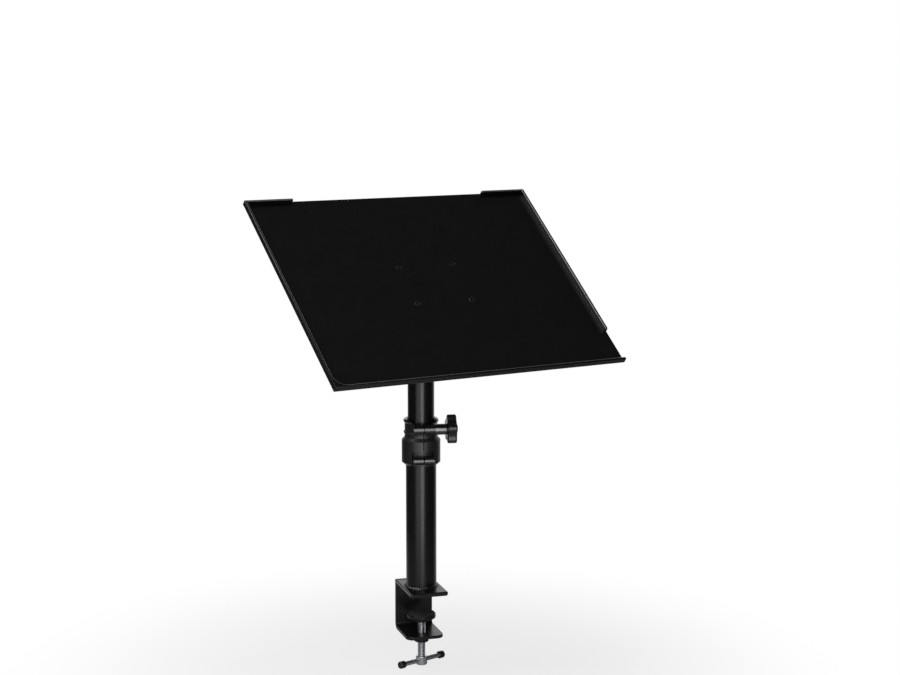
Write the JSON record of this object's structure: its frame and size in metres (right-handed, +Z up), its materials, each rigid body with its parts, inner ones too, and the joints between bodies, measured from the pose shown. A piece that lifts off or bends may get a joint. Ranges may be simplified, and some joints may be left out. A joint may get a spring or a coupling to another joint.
{
  "type": "table-clamped laptop desk",
  "caption": "Tilting laptop tray on a swivelling telescopic tube, held by a split clamp collar with a star knob, on a screw clamp for a table's edge.",
  "frame": {"origin": "on the tubes' axis, at the underside of the pad that rests on the table", "axes": "+Z up along the tubes, +X to the right along the table's edge, the user on the -Y side, the clamp's arm on the +Y side"},
  "size_m": [0.4458, 0.3266, 0.5878],
  "materials": {
    "black_powder_coat": "satin black powder coat on steel",
    "black_nylon": "fine-textured black moulded nylon",
    "cast_head": "die-cast block, coated black",
    "black_rubber": "matt rubber sheet",
    "black_oxide_steel": "black oxide fasteners",
    "zinc_steel": "bright zinc-plated thread and bar",
    "brass_insert": "turned insert"
  },
  "bodies": {
    "base": {"base_plate": "black_powder_coat", "seat_pad": "black_rubber", "tube_weld": "black_powder_coat", "lower_tube": "black_powder_coat", "collar": "black_nylon", "collar_bolt": "black_oxide_steel", "collar_nut": "black_oxide_steel", "clamp_arm": "black_powder_coat", "arm_weld": "black_powder_coat", "spindle_boss": "black_powder_coat"},
    "guide": {"guide_bush": "black_nylon"},
    "upper_pole": {"upper_tube": "black_powder_coat", "tilt_head": "cast_head", "head_pin": "black_oxide_steel"},
    "tray": {"tray": "black_powder_coat", "tray_bracket": "black_powder_coat", "bracket_screws": "black_oxide_steel", "bracket_nuts": "black_oxide_steel", "pivot_bolt": "black_oxide_steel", "bolt_washer": "black_oxide_steel", "friction_discs": "black_nylon"},
    "tilt_washer": {"knob_washer": "black_oxide_steel"},
    "tilt_knob": {"tilt_knob": "black_nylon", "tilt_insert": "brass_insert"},
    "knob_sleeve": {"knob_spacer": "black_nylon"},
    "collar_knob": {"collar_knob": "black_nylon", "knob_stud": "zinc_steel"},
    "pressure_foot": {"pressure_disc": "black_powder_coat", "disc_pad": "black_rubber"},
    "spindle": {"clamp_spindle": "zinc_steel"},
    "tee_bar": {"tee_bar": "zinc_steel", "tee_caps": "black_nylon"}
  },
  "joints": [
    {"name": "height_slide", "type": "slide", "parent": "base", "child": "guide", "axis": [0, 0, 1], "range_m": [-0.09, 0.035]},
    {"name": "pole_swivel", "type": "hinge", "parent": "guide", "child": "upper_pole", "pos_m": [0, 0, 0.2], "axis": [0, 0, 1], "continuous": true},
    {"name": "tray_tilt", "type": "hinge", "parent": "upper_pole", "child": "tray", "pos_m": [0, 0, 0.3477], "axis": [0.9681, 0.2504, 0], "range_deg": [-40.2, 19.8]},
    {"name": "tilt_knob_turn", "type": "hinge", "parent": "tilt_washer", "child": "tilt_knob", "pos_m": [0, 0, 0.3477], "axis": [0.9681, 0.2504, 0], "range_deg": [0, 450]},
    {"name": "tilt_release", "type": "slide", "parent": "tray", "child": "tilt_washer", "axis": [0.9681, 0.2504, 0], "range_m": [0, 0.00156]},
    {"name": "collar_knob_turn", "type": "hinge", "parent": "knob_sleeve", "child": "collar_knob", "pos_m": [-0.00348, -0.02476, 0.2085], "axis": [0.9903, -0.1392, 0], "range_deg": [0, 450]},
    {"name": "knob_release", "type": "slide", "parent": "base", "child": "knob_sleeve", "axis": [0.9903, -0.1392, 0], "range_m": [0, 0.00156]},
    {"name": "spindle_turn", "type": "hinge", "parent": "pressure_foot", "child": "spindle", "pos_m": [0, 0, -0.06], "axis": [0, 0, 1], "range_deg": [-2880, 4320]},
    {"name": "clamp_advance", "type": "slide", "parent": "base", "child": "pressure_foot", "axis": [0, 0, 1], "range_m": [-0.012, 0.018]},
    {"name": "tee_slide", "type": "slide", "parent": "spindle", "child": "tee_bar", "axis": [0.9135, 0.4067, 0], "range_m": [-0.02, 0.02]}
  ],
  "couplings": [
    {"joint": "tilt_knob_turn", "follows": "tilt_release", "rad_per_m": 5026.5},
    {"joint": "collar_knob_turn", "follows": "knob_release", "rad_per_m": 5026.5},
    {"joint": "clamp_advance", "follows": "spindle_turn", "m_per_rad": 0.00023873}
  ]
}
